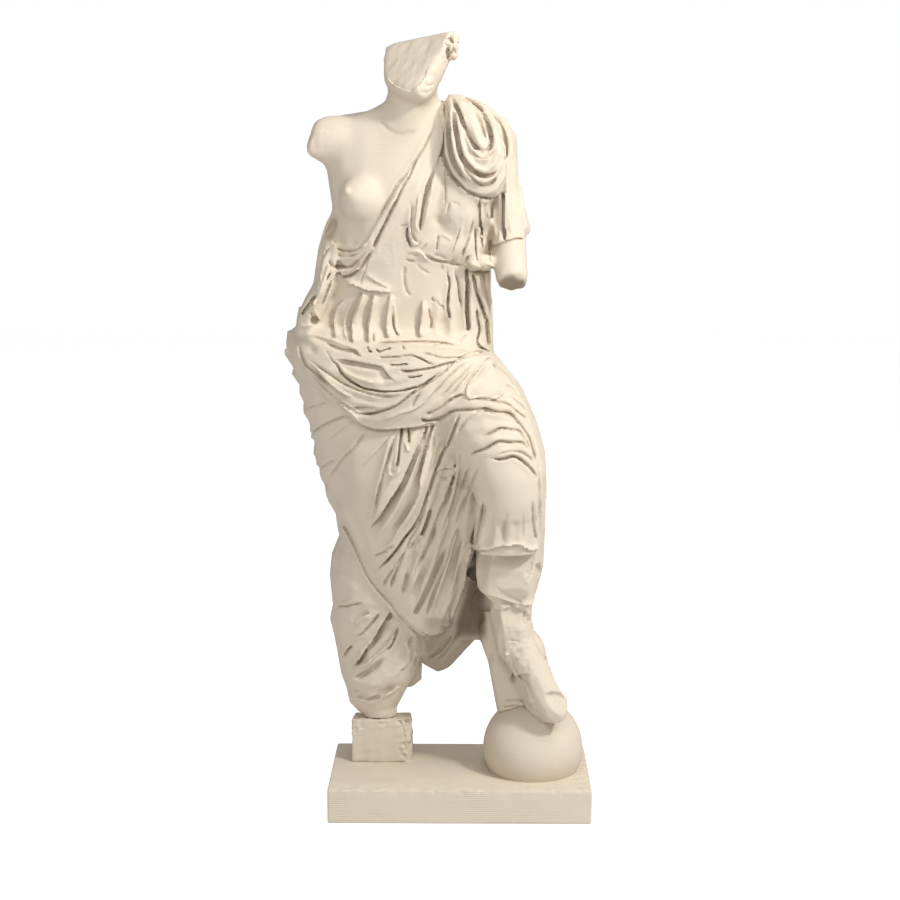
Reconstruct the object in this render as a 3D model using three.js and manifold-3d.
// A desktop copy of a broken classical goddess: left foot raised on a globe, mantle round the hips
// and over the left shoulder, on a rough block and a rectangular plinth.
// Millimetres, +Z up, +X to the viewer's right, +Y away from the viewer.
// The origin is the centre of the plinth's underside.

import * as THREE from "three";
import { mergeVertices } from "three/addons/utils/BufferGeometryUtils.js";
import Module from "manifold-3d";

const wasm = await Module();
wasm.setup();

// Plinth. All places in this file are counted from a level PLINTH_TOP under its top; at the end
// everything is moved so that the origin is the centre of its underside.
const PLINTH_WIDTH = 103;
const PLINTH_FRONT = -26.5;
const PLINTH_BACK = 30.5;
const PLINTH_TOP = 11.6;
const PLINTH_HEIGHT = 13.9;
const PLINTH_EDGE = 0.4;

// Globe under the raised foot
const GLOBE_RADIUS = 20;
const GLOBE_X = 29.3;
const GLOBE_Y = 0.4;
const GLOBE_CENTRE_HEIGHT = 20.5;

// Block under the broken ankle, its top sloping down to the back
const BLOCK_LEFT = -44;
const BLOCK_RIGHT = -19.5;
const BLOCK_FRONT = 6;
const BLOCK_BACK = 24;
const BLOCK_TOP_FRONT = 29.6;
const BLOCK_TOP_BACK = 27.1;

// Gap between the figure and what it stands on
const GAP = 0.3;

// The viewing point that the front is laid out from. A landmark is a place on the upright plane
// y = 0, as it lines up from here, and a depth behind that plane.
const EYE = new THREE.Vector3(3.8, -711.2, 259.1);
const BACK_EYE = new THREE.Vector3(-15, 711.2, 200);
const SIDE_EYE_DISTANCE = 711.2;

const CREAM = 0xe2d5bb;

// How many faces the figure keeps, and how strongly short edges go first when it is thinned
const FIGURE_FACES = 8600;
const SHORTNESS = 0.002;

// Small helpers

// The point at the given depth on the line of sight through (x, z) of the upright plane.
function sight(x, z, depth) {
  const onPlane = new THREE.Vector3(x, 0, z);
  return EYE.clone().lerp(onPlane, (depth - EYE.y) / -EYE.y);
}

// A row of numbers between the rows of a table, smoothly, with t from 0 to 1.
function between(rows, t) {
  const place = t * (rows.length - 1);
  const i = Math.min(Math.floor(place), rows.length - 2);
  const f = place - i;
  const a = rows[Math.max(i - 1, 0)];
  const b = rows[i];
  const c = rows[i + 1];
  const d = rows[Math.min(i + 2, rows.length - 1)];
  return b.map((value, k) => {
    const rise = (c[k] - a[k]) / 2;
    const run = (d[k] - value) / 2;
    const step = value - c[k];
    return value + f * (rise + f * (-3 * step - 2 * rise - run + f * (2 * step + rise + run)));
  });
}

// A closed solid through rings of equally many points, with a point in the middle of each end.
function loft(rings) {
  const sides = rings[0].length;
  const points = rings.flat();
  const ends = [rings[0], rings[rings.length - 1]].map((ring) =>
    ring.reduce((sum, p) => sum.add(p), new THREE.Vector3()).divideScalar(sides),
  );
  points.push(...ends);
  const faces = [];
  for (let i = 0; i + 1 < rings.length; i += 1) {
    for (let k = 0; k < sides; k += 1) {
      const a = i * sides + k;
      const b = i * sides + ((k + 1) % sides);
      faces.push(a, b, b + sides, a, b + sides, a + sides);
    }
  }
  const last = (rings.length - 1) * sides;
  for (let k = 0; k < sides; k += 1) {
    const next = (k + 1) % sides;
    faces.push(next, k, points.length - 2);
    faces.push(last + k, last + next, points.length - 1);
  }
  const geometry = new THREE.BufferGeometry().setFromPoints(points);
  geometry.setIndex(faces);
  return geometry;
}

// A geometry as a solid that can be joined and cut.
function solid(geometry) {
  const bare = geometry.clone();
  bare.deleteAttribute("normal");
  bare.deleteAttribute("uv");
  const merged = mergeVertices(bare, 1e-4);
  const triVerts = new Uint32Array(merged.index.array);
  const vertProperties = merged.attributes.position.array;
  const made = new wasm.Manifold(new wasm.Mesh({ numProp: 3, vertProperties, triVerts }));
  if (made.volume() > 0) return made;
  for (let i = 0; i < triVerts.length; i += 3) {
    [triVerts[i + 1], triVerts[i + 2]] = [triVerts[i + 2], triVerts[i + 1]];
  }
  return new wasm.Manifold(new wasm.Mesh({ numProp: 3, vertProperties, triVerts }));
}

// A solid as a geometry again.
function geometryOf(made) {
  const mesh = made.getMesh();
  const geometry = new THREE.BufferGeometry();
  geometry.setAttribute("position", new THREE.BufferAttribute(new Float32Array(mesh.vertProperties), 3));
  geometry.setIndex(new THREE.BufferAttribute(new Uint32Array(mesh.triVerts), 1));
  return geometry;
}

function joined(solids) {
  return solids.reduce((sum, next) => sum.add(next));
}

// The outer body alone, with any closed hollow between the joined forms filled.
function massive(made) {
  return made.decompose().reduce((most, next) => (next.volume() > most.volume() ? next : most));
}

// How far the point lies from the planes gathered in a sum, squared and weighted by their areas.
function strain(sum, p) {
  return (
    p.x * (sum[0] * p.x + 2 * (sum[1] * p.y + sum[2] * p.z + sum[3])) +
    p.y * (sum[4] * p.y + 2 * (sum[5] * p.z + sum[6])) +
    p.z * (sum[7] * p.z + 2 * sum[8]) +
    sum[9]
  );
}

// A closed surface with fewer faces. Edges are drawn together to a point, the ones first that
// change the surface least, until only the given number of faces is left.
function thinned(made, mostFaces) {
  const mesh = made.getMesh();
  const points = [];
  for (let i = 0; i < mesh.vertProperties.length; i += 3) {
    points.push(new THREE.Vector3().fromArray(mesh.vertProperties, i));
  }
  let faces = [];
  for (let i = 0; i < mesh.triVerts.length; i += 3) {
    faces.push([mesh.triVerts[i], mesh.triVerts[i + 1], mesh.triVerts[i + 2]]);
  }
  const normalOf = (a, b, c) => b.clone().sub(a).cross(c.clone().sub(a));
  const sums = points.map(() => new Array(10).fill(0));
  for (const face of faces) {
    const n = normalOf(...face.map((v) => points[v]));
    const area = n.length();
    if (area === 0) continue;
    n.divideScalar(area);
    const d = -n.dot(points[face[0]]);
    const plane = [n.x, n.y, n.z, d];
    const products = [];
    plane.forEach((a, i) => plane.slice(i).forEach((b) => products.push(a * b * area)));
    face.forEach((v) => products.forEach((value, i) => (sums[v][i] += value)));
  }
  while (faces.length > mostFaces) {
    const around = points.map(() => []);
    faces.forEach((face) => face.forEach((v) => around[v].push(face)));
    const edges = [];
    for (const face of faces) {
      face.forEach((a, k) => {
        const b = face[(k + 1) % 3];
        if (a > b) return;
        const sum = sums[a].map((value, i) => value + sums[b][i]);
        const spots = [points[a], points[b], points[a].clone().lerp(points[b], 0.5)];
        const costs = spots.map((spot) => strain(sum, spot));
        const best = costs.indexOf(Math.min(...costs));
        const length = points[a].distanceToSquared(points[b]);
        edges.push({ a, b, sum, spot: spots[best], cost: costs[best] + SHORTNESS * length });
      });
    }
    edges.sort((one, other) => one.cost - other.cost);
    const touched = new Set();
    const gone = new Set();
    const limit = Math.min(faces.length - mostFaces, Math.ceil(faces.length / 12));
    for (const { a, b, sum, spot } of edges) {
      if (gone.size >= limit) break;
      const ring = [...around[a], ...around[b]];
      if (ring.some((face) => face.some((v) => touched.has(v)))) continue;
      const besideB = new Set(around[b].flat());
      const shared = new Set(around[a].flat().filter((v) => besideB.has(v)));
      if (shared.size !== 4) continue;
      const kept = ring.filter((face) => !(face.includes(a) && face.includes(b)));
      const turns = kept.some((face) => {
        const before = normalOf(...face.map((v) => points[v]));
        const after = normalOf(...face.map((v) => (v === a || v === b ? spot : points[v])));
        return after.dot(before) <= 0.3 * after.length() * before.length() || after.length() < 1e-4;
      });
      if (turns) continue;
      around[a].filter((face) => face.includes(b)).forEach((face) => gone.add(face));
      ring.forEach((face) => face.forEach((v) => touched.add(v)));
      kept.forEach((face) => face.forEach((v, k) => (face[k] = v === b ? a : v)));
      points[a] = spot.clone();
      sums[a] = sum;
    }
    if (gone.size === 0) break;
    faces = faces.filter((face) => !gone.has(face));
  }
  const geometry = new THREE.BufferGeometry().setFromPoints(points);
  geometry.setIndex(faces.flat());
  const used = geometry.toNonIndexed();
  return solid(used);
}

// An upright form in level sections. Each row is [height, left, right, depth, front, back]: the
// first three on the upright plane, then the depth of the section's middle and how far it
// reaches to the front and to the back of there. A higher power makes a squarer section.
function trunk(rows, { sides = 20, steps = 12, power = 2.2 } = {}) {
  const rings = [];
  for (let i = 0; i <= steps; i += 1) {
    const [z, left, right, depth, front, back] = between(rows, i / steps);
    const middle = sight((left + right) / 2, z, depth);
    const half = (sight(right, z, depth).x - sight(left, z, depth).x) / 2;
    const ring = [];
    for (let k = 0; k < sides; k += 1) {
      const turn = (2 * Math.PI * k) / sides;
      const across = Math.sign(Math.cos(turn)) * Math.abs(Math.cos(turn)) ** (2 / power);
      const deep = Math.sign(Math.sin(turn)) * Math.abs(Math.sin(turn)) ** (2 / power);
      const reach = deep > 0 ? back : front;
      ring.push(new THREE.Vector3(middle.x + half * across, middle.y + reach * deep, middle.z));
    }
    rings.push(ring);
  }
  return solid(loft(rings));
}

// A form along a spine. Each row is [x, height, depth, across, deep]: a place and the half
// thicknesses seen from the front and along the line of sight. Lobes swell the section like
// the strands of a rope, and twist is how many turns they make.
function limb(rows, { sides = 12, steps = 10, lobes = 0, swell = 0, twist = 0 } = {}) {
  const places = [];
  for (let i = 0; i <= steps; i += 1) {
    const [x, z, depth, across, deep] = between(rows, i / steps);
    places.push({ point: sight(x, z, depth), across, deep });
  }
  const rings = places.map(({ point, across, deep }, i) => {
    const before = places[Math.max(i - 1, 0)].point;
    const after = places[Math.min(i + 1, steps)].point;
    const along = after.clone().sub(before).normalize();
    const toEye = EYE.clone().sub(point).normalize();
    const side = along.clone().cross(toEye).normalize();
    const near = side.clone().cross(along).normalize();
    const ring = [];
    for (let k = 0; k < sides; k += 1) {
      const turn = (2 * Math.PI * k) / sides;
      const wave = 1 + swell * Math.cos(lobes * turn + (2 * Math.PI * twist * i) / steps);
      ring.push(
        point
          .clone()
          .addScaledVector(side, across * wave * Math.cos(turn))
          .addScaledVector(near, deep * wave * Math.sin(turn)),
      );
    }
    return ring;
  });
  return solid(loft(rings));
}

// A rounded lump: centre on the upright plane, its depth and its three half sizes.
function lump(x, z, depth, width, thickness, height, sides = 14) {
  const geometry = new THREE.SphereGeometry(1, sides, Math.round(sides / 2));
  const centre = sight(x, z, depth);
  geometry.rotateX(Math.PI / 2);
  geometry.scale(width, thickness, height);
  geometry.translate(centre.x, centre.y, centre.z);
  return solid(geometry);
}

// Everything on the side that the direction points to of a plane through a point.
function halfSpace(point, direction) {
  const size = 90;
  const geometry = new THREE.BoxGeometry(size, size, size);
  geometry.translate(0, 0, size / 2);
  const turn = new THREE.Quaternion().setFromUnitVectors(
    new THREE.Vector3(0, 0, 1),
    direction.clone().normalize(),
  );
  geometry.applyQuaternion(turn);
  geometry.translate(point.x, point.y, point.z);
  return solid(geometry);
}

// Folds laid on the surface

// The four sides that folds are laid out from: an eye, and the plane its guides are drawn on.
const FROM_FRONT = { eye: EYE, spot: (u, z) => new THREE.Vector3(u, 0, z) };
const FROM_BACK = { eye: BACK_EYE, spot: (u, z) => new THREE.Vector3(u, 0, z) };
const FROM_LEFT = {
  eye: new THREE.Vector3(-SIDE_EYE_DISTANCE, 5, 180),
  spot: (u, z) => new THREE.Vector3(-15, u, z),
};
const FROM_RIGHT = {
  eye: new THREE.Vector3(SIDE_EYE_DISTANCE, 5, 180),
  spot: (u, z) => new THREE.Vector3(0, u, z),
};

// Where a line of sight meets the body, with the way the surface faces there.
function landing(body, view, u, z) {
  const way = view.spot(u, z).sub(view.eye).normalize();
  const hit = new THREE.Raycaster(view.eye, way).intersectObject(body)[0];
  if (!hit) return null;
  const facing = hit.face.normal.clone().addScaledVector(way, -0.6).normalize();
  return { point: hit.point, facing };
}

// A fold's section, in half widths and heights, its base sunk into the body.
const FOLD_SECTION = [
  [-1, -0.5],
  [-0.3, 0.9],
  [0.3, 0.9],
  [1, -0.5],
];

// One fold: a tapering ridge of the given half width and height over the body, along a guide.
function fold(body, view, guide, { width, height, steps = 6, root = 0.3, tip = 0.3 }) {
  const rows = [];
  for (let i = 0; i <= steps; i += 1) {
    const t = i / steps;
    const [u, z] = between(guide, t);
    const place = landing(body, view, u, z);
    if (place) rows.push({ ...place, size: Math.min(1, root + 4 * t, tip + 4 * (1 - t)) });
  }
  if (rows.length < 3) return null;
  const rings = rows.map(({ point, facing, size }, i) => {
    const before = rows[Math.max(i - 1, 0)].point;
    const after = rows[Math.min(i + 1, rows.length - 1)].point;
    const along = after.clone().sub(before).normalize();
    const side = along.clone().cross(facing).normalize();
    return FOLD_SECTION.map(([a, b]) =>
      point
        .clone()
        .addScaledVector(side, a * width * size)
        .addScaledVector(facing, b * height * size),
    );
  });
  return solid(loft(rings));
}

// A family of folds that goes over from the first guide to the last one.
function family(body, view, first, last, count, shape) {
  const folds = [];
  for (let i = 0; i < count; i += 1) {
    const f = count > 1 ? i / (count - 1) : 0;
    const guide = first.map(([u, z], k) => [u + f * (last[k][0] - u), z + f * (last[k][1] - z)]);
    const made = fold(body, view, guide, shape);
    if (made) folds.push(made);
  }
  return folds;
}

// The goddess: main forms

function torso() {
  return trunk(
    [
      [170, -58, 13, 8, 20, 24],
      [183, -56, 12.5, 8, 18, 22],
      [195, -52, 12, 8, 16.5, 20],
      [205, -50.5, 12, 7, 16.5, 18],
      [214, -50, 11.8, 7, 17.5, 18],
      [224, -49, 12, 7, 19, 18],
      [234, -49, 13, 7, 20.5, 19],
      [243, -50.4, 14, 7, 20, 19],
      [251, -51.5, 16, 7, 17.5, 18],
      [259, -52, 18, 7, 14.5, 16],
      [265, -50, 16, 7, 12, 14],
      [269.5, -42, 9, 7, 10, 12],
      [272.5, -33.5, -2, 6, 8.5, 10],
      [275.5, -28.5, -7, 5, 8, 9],
    ],
    { sides: 18, steps: 13, power: 2.3 },
  );
}

function neck() {
  return limb(
    [
      [-19.5, 258, 5, 14, 12],
      [-19.2, 265, 5, 12, 11],
      [-18.6, 272, 4, 9.8, 10.5],
      [-18.3, 278, 2, 9.7, 10],
      [-18, 284, 3, 9, 9],
    ],
    { sides: 14, steps: 5 },
  );
}

// The head, sliced by one flat break across the face and one across the top.
function head() {
  const skull = trunk(
    [
      [275, -18, -13, -9, 2.5, 4],
      [277.3, -24, -10.3, -7, 7, 8],
      [281, -28.4, -8.1, -4, 11, 14],
      [286, -29.9, -5.5, -2, 14, 18],
      [291, -30.2, -3.6, 0, 16, 19],
      [297, -30.2, -2.6, 1, 16, 19],
      [303, -29, -2.6, 1, 15, 18],
      [307, -25, -5, 2, 12, 15],
    ],
    { sides: 18, steps: 9, power: 2.1 },
  );
  const face = sight(-31, 286, 0);
  const top = sight(-29, 296.1, 0);
  return skull
    .subtract(halfSpace(face, new THREE.Vector3(-0.474, -0.659, 0.585)))
    .subtract(halfSpace(top, new THREE.Vector3(-0.196, -0.054, 0.98)));
}

function chin() {
  return lump(-15.3, 279.2, -11, 5.4, 5.2, 3.9, 10);
}

// Curls at the temple and a low knot of hair behind.
function hair() {
  const curls = [
    [-2.4, 298.4, -3, 2.5],
    [-2.6, 295.4, -6, 2.2],
    [-2.8, 292.4, -4, 2.3],
  ];
  const locks = curls.map(([x, z, depth, r]) => lump(x, z, depth, r, 3.2, r, 8));
  locks.push(lump(-15, 284, 21, 9, 6, 7, 10));
  return locks;
}

// The tunic bloused over the girdle, with two pouches at the left side.
function blousing() {
  return [
    lump(-6, 221.5, -7, 16.5, 6, 7.5, 12),
    lump(5, 214.5, -8.5, 3.6, 4, 4.2, 8),
    lump(10, 214, -5, 3.4, 4, 4, 8),
  ];
}

function breasts() {
  return [lump(-37.6, 238.6, -8, 9.4, 9.2, 9.6, 14), lump(-1, 235.5, -4, 12.5, 11.2, 13.5)];
}

// The right shoulder ends in a rough break.
function rightShoulder() {
  const stump = limb(
    [
      [-34, 258, 8, 11, 12],
      [-44, 260, 8, 10.4, 11.5],
      [-51, 260.5, 7, 9.8, 10.5],
      [-61, 259, 6, 8.6, 9],
    ],
    { sides: 12, steps: 5 },
  );
  return stump
    .subtract(halfSpace(sight(-55.6, 267, 4), new THREE.Vector3(-0.9, -0.1, 0.3)))
    .subtract(halfSpace(sight(-56.5, 254.6, 4), new THREE.Vector3(-0.55, 0.1, -0.78)));
}

// The left sleeve, and the arm cut off across below it.
function leftArm() {
  const sleeve = trunk(
    [
      [218, 13.5, 24, 3, 9, 9],
      [227, 12, 27, 5, 10, 11],
      [235, 11.5, 25.2, 6, 10.5, 11],
      [243, 11, 22.8, 7, 10.5, 12],
      [251, 9, 22, 7, 11, 12],
      [262, 5, 21.4, 7, 11, 13],
      [268.5, 1, 17.8, 7, 9, 12],
      [273, -3, 12, 7, 7, 9],
      [277, -4, 3.5, 7, 4, 6],
    ],
    { sides: 14, steps: 8 },
  ).subtract(halfSpace(sight(18, 222.6, 0), new THREE.Vector3(0.32, -0.1, -0.95)));
  const arm = limb(
    [
      [17.5, 236, 7, 7, 8],
      [18.9, 222, 1, 6.4, 7.4],
      [19.7, 211, -5, 6.6, 7.2],
      [20, 199, -10, 6.8, 7],
    ],
    { sides: 14, steps: 4 },
  ).subtract(halfSpace(sight(19.8, 205.2, -6), new THREE.Vector3(0.05, -0.57, -0.82)));
  return [sleeve, arm];
}

// The end of the mantle that hangs in loops from the left shoulder.
function shoulderSwag() {
  return trunk(
    [
      [239, 6, 13.5, -9, 4, 8],
      [241.5, 1.5, 16.3, -9, 6, 10],
      [246, -2.5, 17.6, -10, 7, 12],
      [252, -5.3, 17.8, -10, 7.5, 14],
      [258, -6.4, 17.4, -9, 8, 15],
      [264, -6.5, 15, -7, 8, 15],
      [270, -6.4, 10, -4, 8, 15],
      [275, -6, 4, 0, 7, 12],
      [277.8, -4.6, 0.6, 3, 3, 6],
    ],
    { sides: 14, steps: 8 },
  );
}

// The mantle across the back, from the right hip up to the left shoulder.
function backMantle() {
  return trunk(
    [
      [178, -65.5, 13, 17, 8, 17],
      [190, -64, 13, 17, 8, 16],
      [199, -60.5, 12.6, 17, 8, 14],
      [206, -54.8, 12.5, 17, 8, 13],
      [213, -54.6, 12.5, 16, 8, 12],
      [222, -53.4, 12.5, 16, 8, 11],
      [231, -50.5, 15, 16, 8, 11],
      [243, -43, 18, 15, 8, 11],
      [256, -28, 19.5, 14, 8, 11],
      [267, -14, 17, 13, 7, 9],
      [275, -7, 7, 11, 5, 7],
    ],
    { sides: 14, steps: 10 },
  );
}

// The bundle of cloth at the right side of the waist.
function waistBundle() {
  return limb(
    [
      [-47.5, 232, 8, 3, 5],
      [-49.3, 223, 4, 4.6, 7],
      [-50.5, 213, 2, 4.8, 8],
      [-53, 203, 2, 5, 9],
      [-57, 195, 3, 6.2, 9],
      [-57.5, 186, 3, 7.2, 9],
    ],
    { sides: 9, steps: 7, lobes: 3, swell: 0.1, twist: 0.6 },
  );
}

// The standing right leg under its drapery, down to the broken ankle.
function standingLeg() {
  return trunk(
    [
      [35.5, -40.5, -26, 15, 8, 9],
      [40, -44.5, -23.5, 15, 10, 11],
      [46, -45.6, -20.5, 15, 12, 13],
      [52, -47.8, -17, 14, 13, 14],
      [60, -48.9, -14.5, 14, 14, 15],
      [68, -50.4, -13.5, 14, 15, 16],
      [76, -52, -12, 13, 16, 17],
      [86, -50.4, -11, 13, 17, 18],
      [95, -52.2, -8, 12, 18, 20],
      [104, -49, -6, 12, 19, 21],
      [112, -47, -4, 11, 20, 22],
      [121, -52.3, -2, 11, 22, 23],
      [131, -56, 2, 10, 24, 24],
      [141, -57.8, 6, 9, 26, 26],
      [151, -60, 8, 8, 27, 27],
      [162, -63.6, 12, 8, 28, 28],
      [172, -64.8, 13, 8, 28, 29],
      [182, -66, 13, 8, 25, 28],
      [190, -62, 12, 8, 18, 24],
    ],
    { sides: 18, steps: 19, power: 2.2 },
  );
}

function ankleStub() {
  return trunk(
    [
      [26, -38, -25.5, 14, 7, 7],
      [39, -39, -25, 14, 8, 8],
    ],
    { sides: 12, steps: 1 },
  );
}

// The mantle between the legs, down to its pointed hem.
function mantleFall() {
  return trunk(
    [
      [66.5, -15.5, -7.5, -1, 3, 4],
      [70, -20, -5.5, -1, 6, 8],
      [76, -26.5, -3.6, 0, 9, 11],
      [84, -32.5, -0.4, 1, 12, 14],
      [92, -37, 1.2, 2, 14, 17],
      [100, -41, 3.2, 3, 17, 19],
      [110, -45.4, 6, 4, 20, 21],
      [121, -49.5, 8.5, 4, 24, 22],
      [133, -52, 11, 4, 27, 22],
      [146, -52, 13, 4, 28, 22],
      [156, -44, 13, 4, 27, 22],
    ],
    { sides: 14, steps: 10, power: 2.1 },
  );
}

function thigh() {
  return limb(
    [
      [-6, 167, 8, 15.6, 20],
      [-0.5, 164, 0, 16.6, 20],
      [6, 157.6, -10, 18, 19],
      [12.6, 146.6, -20, 17.4, 17.5],
      [17.4, 136, -26, 15.4, 15],
      [19.5, 127, -27, 14.3, 14],
      [19.5, 118, -25, 12.6, 13],
    ],
    { sides: 16, steps: 9 },
  );
}

// The cloth that hangs from the knee over the shin.
function kneeCloth() {
  return trunk(
    [
      [101.3, 5, 31.4, -20, 12.5, 12],
      [107, 5.2, 31.4, -20.5, 13, 13],
      [116, 6, 32, -22, 14, 14],
      [126, 6.2, 33.4, -24, 15.5, 15],
      [134, 8.5, 31.5, -25, 14.5, 15],
      [140, 13.5, 26.5, -25, 10, 11],
    ],
    { sides: 16, steps: 6, power: 2.5 },
  );
}

// The shin: a thick broken sheath of cloth above, a thinner leg below.
function shin() {
  const sheath = trunk(
    [
      [78.6, 17, 28.8, -12, 6, 11],
      [83, 8.5, 29.8, -12, 9, 14],
      [91, 6.3, 30, -14, 10, 15],
      [104, 7, 30, -16, 10, 14],
    ],
    { sides: 12, steps: 4, power: 3 },
  );
  const leg = trunk(
    [
      [58, 15, 27, -9, 7, 8],
      [66, 13.8, 28, -10, 7.5, 9],
      [75, 12, 28.6, -11, 8, 10],
      [86, 12, 28.6, -11, 8, 11],
    ],
    { sides: 10, steps: 3, power: 2.8 },
  );
  return [sheath, leg];
}

// The raised foot, coming down over the front of the globe.
function foot() {
  return limb(
    [
      [21, 69, -10, 7, 7],
      [24.5, 60, -11, 6.6, 7],
      [30, 50, -12, 6.4, 7.5],
      [35, 41, -15, 7, 7.5],
      [38.2, 34.5, -18, 5.8, 6],
      [39.4, 30.5, -19.5, 3, 3],
    ],
    { sides: 12, steps: 7 },
  );
}

// The drapery behind the raised leg, down to the globe.
function hangingCloth() {
  const low = trunk(
    [
      [33, 15.2, 40, 1, 8, 10],
      [38, 14.6, 40.5, 1, 8, 11],
      [46, 13.2, 37.4, 2, 8, 12],
      [55, 11, 35.6, 3, 8, 12],
      [63, 8.6, 33.6, 4, 8, 13],
      [68, 7, 30.4, 5, 9, 14],
      [79, 4, 27, 6, 11, 15],
    ],
    { sides: 12, steps: 6, power: 2.6 },
  );
  const high = trunk(
    [
      [66, -12, 24, 11, 6, 10],
      [72, -16, 27, 11, 9, 14],
      [80, -17, 29, 10, 12, 18],
      [87, -16, 31, 10, 14, 20],
      [95, -14, 33, 9, 16, 21],
      [110, -12, 33.6, 8, 20, 23],
      [126, -12, 33.7, 7, 24, 25],
      [141, -12, 33.2, 7, 24, 27],
      [153, -12, 29.8, 7, 22, 28],
      [164, -12, 25, 7, 20, 28],
      [172, -12, 19.4, 7, 18, 27],
      [180, -12, 12.8, 7, 14, 25],
    ],
    { sides: 14, steps: 11, power: 2.4 },
  );
  return [low, high];
}

// The hem of the long tunic that shows between the legs.
function innerHem() {
  const betweenLegs = trunk(
    [
      [51.8, -10, -5.5, 17, 2, 3],
      [55.5, -15.5, -1.6, 17, 5, 6],
      [60, -18, 1.2, 16, 7, 9],
      [64, -19, 5.5, 15, 8, 11],
      [72, -20, 12, 13, 9, 14],
      [84, -20, 14, 12, 10, 16],
    ],
    { sides: 10, steps: 6 },
  );
  const behindLeg = trunk(
    [
      [45.6, -24, -18.6, 21, 3, 4],
      [48.4, -28, -15.1, 21, 4, 6],
      [56, -30, -15, 20, 6, 8],
      [64, -30, -14.5, 19, 6, 8],
    ],
    { sides: 10, steps: 3 },
  );
  return [betweenLegs, behindLeg];
}

// The heavy roll of the mantle round the front of the hips.
function mantleRoll() {
  return limb(
    [
      [-62.5, 186, 14, 4.5, 5],
      [-61.3, 180, 4, 7, 6],
      [-54, 175, -6, 9.5, 7],
      [-44, 170, -13, 12.5, 8],
      [-33, 166.5, -17, 15.5, 8.5],
      [-22, 166.5, -19.5, 16, 8.5],
      [-11, 168.5, -20, 14, 8.5],
      [-1, 171.5, -18.5, 10, 8],
      [7, 174, -13, 6, 7],
      [10, 174.5, -6, 3, 5],
    ],
    { sides: 14, steps: 12 },
  );
}

function mainForms() {
  return joined([
    torso(),
    neck(),
    head(),
    chin(),
    ...hair(),
    ...breasts(),
    ...blousing(),
    rightShoulder(),
    ...leftArm(),
    shoulderSwag(),
    backMantle(),
    waistBundle(),
    standingLeg(),
    ankleStub(),
    mantleFall(),
    thigh(),
    kneeCloth(),
    ...shin(),
    foot(),
    ...hangingCloth(),
    ...innerHem(),
    mantleRoll(),
  ]);
}

// The block, the globe and the plinth

// A block with a sloping top; margin makes it larger for cutting what stands on it.
function blockGeometry(margin) {
  const width = BLOCK_RIGHT - BLOCK_LEFT + 2 * margin;
  const depth = BLOCK_BACK - BLOCK_FRONT + 2 * margin;
  const height = BLOCK_TOP_FRONT - PLINTH_TOP;
  const geometry = new THREE.BoxGeometry(width, depth, height, 6, 4, 4);
  geometry.translate((BLOCK_LEFT + BLOCK_RIGHT) / 2, (BLOCK_FRONT + BLOCK_BACK) / 2, 0);
  const place = geometry.attributes.position;
  for (let i = 0; i < place.count; i += 1) {
    const rise = place.getZ(i) / height + 0.5;
    const back = (place.getY(i) - BLOCK_FRONT) / (BLOCK_BACK - BLOCK_FRONT);
    const top = BLOCK_TOP_FRONT + (BLOCK_TOP_BACK - BLOCK_TOP_FRONT) * back + margin;
    place.setZ(i, PLINTH_TOP + rise * (top - PLINTH_TOP));
  }
  return geometry;
}

// The rough block: its upper edges are worn back and its right edge is chipped.
function ankleBlock() {
  const geometry = blockGeometry(0);
  const place = geometry.attributes.position;
  for (let i = 0; i < place.count; i += 1) {
    const x = place.getX(i);
    const y = place.getY(i);
    const z = place.getZ(i);
    const rise = (z - PLINTH_TOP) / (BLOCK_TOP_FRONT - PLINTH_TOP);
    const onRight = x > BLOCK_RIGHT - 0.01;
    const onLeft = x < BLOCK_LEFT + 0.01;
    const wear = 0.5 + 0.4 * Math.sin(5 * z + 3 * y);
    if (onRight) place.setX(i, x - rise * wear * 1.4);
    if (onLeft) place.setX(i, x + rise * wear * 0.8);
    if (y < BLOCK_FRONT + 0.01) place.setY(i, y + rise * 0.9 + 0.2 * Math.sin(2 * x));
  }
  return geometry;
}

function globeGeometry(margin) {
  const radius = GLOBE_RADIUS + margin;
  const low = Math.asin((PLINTH_TOP - GLOBE_CENTRE_HEIGHT) / GLOBE_RADIUS);
  const steps = 11;
  const profile = [new THREE.Vector2(0, PLINTH_TOP)];
  for (let i = 0; i < steps; i += 1) {
    const angle = low + ((Math.PI / 2 - low) * i) / steps;
    profile.push(
      new THREE.Vector2(radius * Math.cos(angle), GLOBE_CENTRE_HEIGHT + radius * Math.sin(angle)),
    );
  }
  profile[1].y = PLINTH_TOP;
  profile.push(new THREE.Vector2(0, GLOBE_CENTRE_HEIGHT + radius));
  const geometry = new THREE.LatheGeometry(profile, 28);
  geometry.rotateX(Math.PI / 2);
  geometry.translate(GLOBE_X, GLOBE_Y, 0);
  return geometry;
}

function plinthGeometry() {
  const depth = PLINTH_BACK - PLINTH_FRONT;
  const half = new THREE.Vector2(PLINTH_WIDTH / 2 - PLINTH_EDGE, depth / 2 - PLINTH_EDGE);
  const outline = new THREE.Shape([
    new THREE.Vector2(-half.x, -half.y),
    new THREE.Vector2(half.x, -half.y),
    new THREE.Vector2(half.x, half.y),
    new THREE.Vector2(-half.x, half.y),
  ]);
  const geometry = new THREE.ExtrudeGeometry(outline, {
    depth: PLINTH_HEIGHT - 2 * PLINTH_EDGE,
    bevelSize: PLINTH_EDGE,
    bevelThickness: PLINTH_EDGE,
    bevelSegments: 1,
  });
  const underside = PLINTH_TOP - PLINTH_HEIGHT;
  geometry.translate(0, (PLINTH_FRONT + PLINTH_BACK) / 2, underside + PLINTH_EDGE);
  return geometry;
}

// The cloth folds that show from a step away

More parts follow.
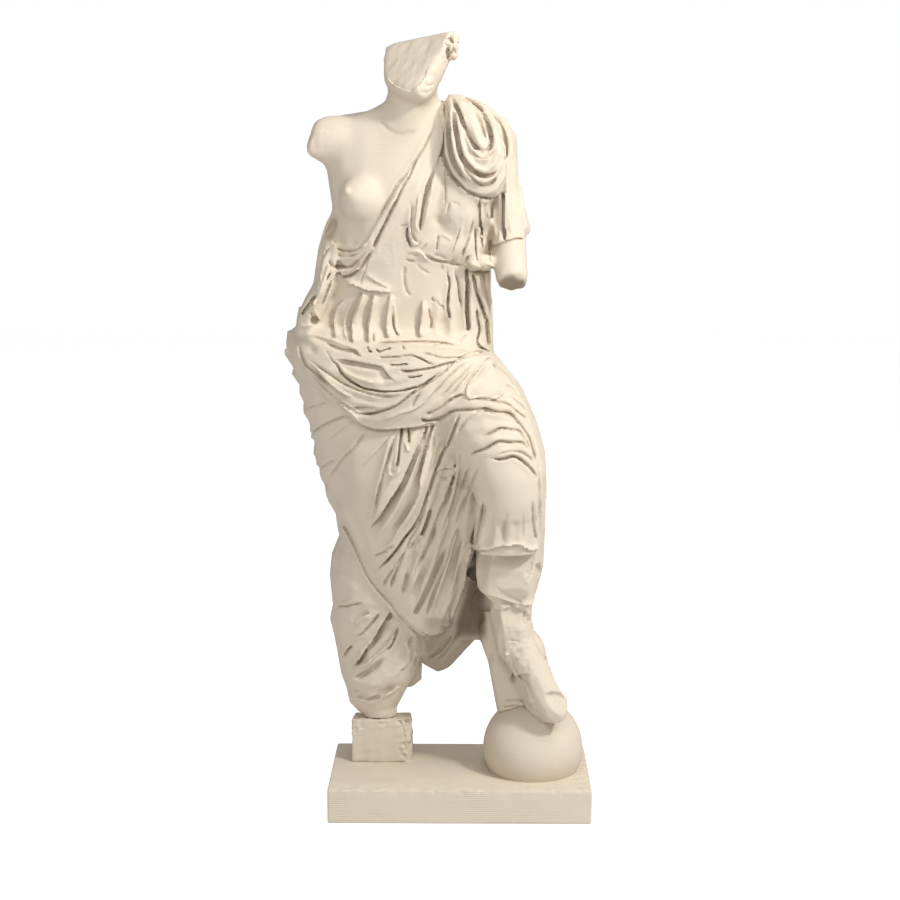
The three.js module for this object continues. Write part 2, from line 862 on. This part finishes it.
// Folds of the tunic over the chest, from the left shoulder and under the swag.
function chestFolds(body) {
  const neckline = [
    [-8.5, 268],
    [-20, 246],
    [-31, 230],
    [-40, 219.5],
    [-50, 222],
  ];
  const overlap = [
    [-8, 261],
    [-17, 244],
    [-28, 226],
    [-38, 211.5],
    [-50, 211],
  ];
  return [
    ...family(body, FROM_FRONT, neckline, overlap, 3, { width: 1.8, height: 1.5, steps: 8 }),
    ...family(body, FROM_FRONT, [[-13, 250], [-17, 240], [-19.5, 231], [-18.8, 222]],
      [[-8, 250], [-9.3, 243], [-12, 234], [-13.5, 226]], 3, { width: 1.5, height: 1.3, steps: 4 }),
    ...family(body, FROM_FRONT, [[1, 230], [-1, 223], [-4, 217]],
      [[11, 238], [11, 226], [11.5, 215]], 4, { width: 1.3, height: 1.3, steps: 4 }),
    fold(body, FROM_FRONT, [[-22, 216], [-12, 217], [-4, 214.5], [4, 213.5]], { width: 1.1, height: 0.9 }),
  ];
}

// Pleats of the tunic between the girdle and the mantle.
function waistPleats(body) {
  const shape = { width: 1.7, height: 1.4, steps: 4, root: 0.1, tip: 0.6 };
  return [
    ...family(body, FROM_FRONT, [[-45, 204], [-50, 194], [-51, 186]],
      [[-28.5, 203], [-28.5, 194], [-28, 185]], 5, shape),
    ...family(body, FROM_FRONT, [[-14, 200], [-14, 194], [-14, 186]],
      [[0.8, 211], [1.3, 200], [1, 187]], 4, shape),
    ...family(body, FROM_FRONT, [[4.3, 210], [4.8, 198], [5, 184]],
      [[7.5, 208], [9.5, 196], [9.3, 183]], 2, shape),
    fold(body, FROM_FRONT, [[-47, 208], [-37, 205], [-26, 203.8]], shape),
  ];
}

// The nested loops of the mantle's end on the left shoulder.
function swagFolds(body) {
  const outer = [
    [-5, 273],
    [-5.3, 262],
    [-3.5, 251],
    [2, 243.5],
    [9, 240.8],
    [15, 244],
    [16.8, 252],
    [16, 262],
  ];
  const inner = [
    [1.5, 275.5],
    [4, 268],
    [6.5, 261],
    [8.5, 257.5],
    [10.5, 258],
    [12, 262],
    [11, 268],
    [8, 272],
  ];
  return family(body, FROM_FRONT, outer, inner, 5, { width: 1.5, height: 1.6, steps: 9 });
}

// The roll round the hips: swags from the right hip, and a bundle that runs up to the left one.
function rollFolds(body) {
  const upper = [
    [-60, 186],
    [-48, 179],
    [-34, 177],
    [-18, 178],
    [-4, 178],
  ];
  const lower = [
    [-64, 182],
    [-58, 170],
    [-46, 159],
    [-32, 153],
    [-20, 157],
    [-8, 167],
    [2, 175],
  ];
  const upperResampled = lower.map((_, k) => between(upper, k / (lower.length - 1)));
  return [
    ...family(body, FROM_FRONT, upperResampled, lower, 6, { width: 2.1, height: 1.8, steps: 8 }),
    ...family(body, FROM_FRONT, [[-24, 151.5], [-12, 158], [-2, 167], [6, 174]],
      [[-18, 151], [-8, 154.5], [0, 159.5], [8, 164]], 3, { width: 1.6, height: 1.4, steps: 5 }),
  ];
}

// Arcs of cloth drawn over the raised thigh.
function thighFolds(body) {
  return [
    ...family(body, FROM_FRONT, [[-14, 153], [-4, 157.5], [8, 160.5], [18, 159], [24, 155], [28, 150]],
      [[8, 138], [12, 139.5], [18, 140.8], [23, 139.5], [27, 134.5], [29.5, 129]],
      5, { width: 1.6, height: 1.4, steps: 6 }),
    ...family(body, FROM_FRONT, [[17, 171], [23, 163], [28, 152]],
      [[17, 165], [22, 160], [27, 153]], 2, { width: 1.4, height: 1.1, steps: 3 }),
  ];
}

// The long folds that fan out from under the roll down to the mantle's hem.
function fallFolds(body) {
  const long = { width: 2.3, height: 2.7, steps: 7, root: 0.5, tip: 0.5 };
  return [
    ...family(body, FROM_FRONT, [[-22, 149], [-24, 141], [-26, 134]],
      [[-27, 149], [-30, 132], [-35, 114]], 2, { width: 1.6, height: 1.6, steps: 5 }),
    ...family(body, FROM_FRONT, [[-17, 150], [-22, 138], [-28, 126], [-36, 112]],
      [[-4, 144], [-10, 128], [-15, 113], [-27, 92]], 4, long),
    ...family(body, FROM_FRONT, [[-3, 138], [-8, 120], [-15, 102], [-21, 84]],
      [[4.5, 131], [3, 115], [-0.5, 96], [-7, 74]], 4, long),
    fold(body, FROM_FRONT, [[-46, 110], [-39, 97], [-32, 84], [-24, 75.5], [-14, 68]],
      { width: 1.6, height: 1.2 }),
    ...family(body, FROM_FRONT, [[-59, 156], [-52, 158.5], [-42, 156]],
      [[-54, 131], [-46, 139], [-34, 148]], 3, { width: 2, height: 0.8, steps: 3 }),
  ];
}

// The tunic over the standing leg, below the mantle.
function lowerLegFolds(body) {
  const shape = { width: 1.6, height: 1.3, steps: 4 };
  return [
    ...family(body, FROM_FRONT, [[-28, 78], [-38, 80], [-50, 78]],
      [[-22, 71], [-29, 59], [-43, 49]], 5, shape),
    ...family(body, FROM_FRONT, [[-19, 62], [-22, 54], [-32, 46.5], [-44, 45]],
      [[-24, 46], [-31, 41.5], [-42, 40.5], [-44, 42]], 2, shape),
    ...family(body, FROM_FRONT, [[-49, 101], [-44, 96], [-40, 92]],
      [[-50, 92], [-45, 88], [-40, 84]], 2, shape),
  ];
}

// Pleats of the cloth that hangs from the knee, and of the sleeve.
function hangingPleats(body) {
  return [
    ...family(body, FROM_FRONT, [[9.3, 112], [8.8, 108], [8, 103]],
      [[29.6, 112.5], [30.4, 108], [30, 102.5]], 5, { width: 2, height: 1.3, steps: 4, root: 0.1, tip: 1 }),
    ...family(body, FROM_FRONT, [[13.6, 237], [13.6, 230], [14, 224]],
      [[22, 258], [22.5, 244], [25, 227]], 3, { width: 1.6, height: 1.4, steps: 4, tip: 1 }),
    ...family(body, FROM_FRONT, [[-50, 230], [-52, 216], [-54, 203], [-60, 194]],
      [[-48.5, 224], [-49, 213], [-50.5, 203], [-54, 193]], 2, { width: 1.4, height: 1.3, steps: 6 }),
    ...family(body, FROM_FRONT, [[-13, 64], [-10, 58], [-7.5, 53]],
      [[5, 74], [2, 67], [-2, 60]], 2, { width: 1.2, height: 1, steps: 3 }),
  ];
}

// The plainer folds of the sides and the back.
function hiddenFolds(body) {
  return [
    ...family(body, FROM_BACK, [[-60, 196], [-50, 215], [-34, 238], [-10, 264]],
      [[-42, 184], [-22, 194], [-2, 216], [14, 258]], 5, { width: 2.4, height: 1.7, steps: 6 }),
    ...family(body, FROM_BACK, [[-56, 183], [-38, 178], [-12, 176], [10, 178]],
      [[-56, 174], [-38, 164], [-12, 160], [18, 168]], 3, { width: 2.8, height: 2, steps: 6 }),
    ...family(body, FROM_BACK, [[-56, 158], [-50, 128], [-47, 98], [-42, 66]],
      [[25, 158], [28, 130], [26, 104], [24, 84]], 7, { width: 2.6, height: 1.8, steps: 6 }),
    ...family(body, FROM_LEFT, [[-14, 160], [4, 154], [24, 142]],
      [[-12, 118], [4, 110], [20, 98]], 5, { width: 2.2, height: 0.8, steps: 4 }),
    ...family(body, FROM_RIGHT, [[-14, 152], [4, 160], [22, 170]],
      [[-12, 112], [4, 106], [20, 98]], 5, { width: 2.2, height: 0.8, steps: 4 }),
  ];
}

function allFolds(body) {
  return [
    ...chestFolds(body),
    ...waistPleats(body),
    ...swagFolds(body),
    ...rollFolds(body),
    ...thighFolds(body),
    ...fallFolds(body),
    ...lowerLegFolds(body),
    ...hangingPleats(body),
    ...hiddenFolds(body),
  ];
}

function figureSolid() {
  const forms = mainForms();
  const body = new THREE.Mesh(geometryOf(forms), new THREE.MeshBasicMaterial());
  const clad = thinned(massive(joined([forms, ...allFolds(body)])), FIGURE_FACES);
  return massive(clad.subtract(solid(globeGeometry(GAP))).subtract(solid(blockGeometry(GAP))));
}

// A named piece, moved to the origin at the centre of the plinth's underside.
function part(name, geometry) {
  geometry.translate(0, -(PLINTH_FRONT + PLINTH_BACK) / 2, PLINTH_HEIGHT - PLINTH_TOP);
  const finish = new THREE.MeshStandardMaterial({ color: CREAM, roughness: 0.75, metalness: 0 });
  const mesh = new THREE.Mesh(geometry, finish);
  mesh.name = name;
  return mesh;
}

const statue = new THREE.Group();
statue.add(part("figure", geometryOf(figureSolid())));
statue.add(part("globe", geometryOf(solid(globeGeometry(0)))));
statue.add(part("ankle_block", geometryOf(solid(ankleBlock()))));
statue.add(part("plinth", plinthGeometry()));

export default statue;
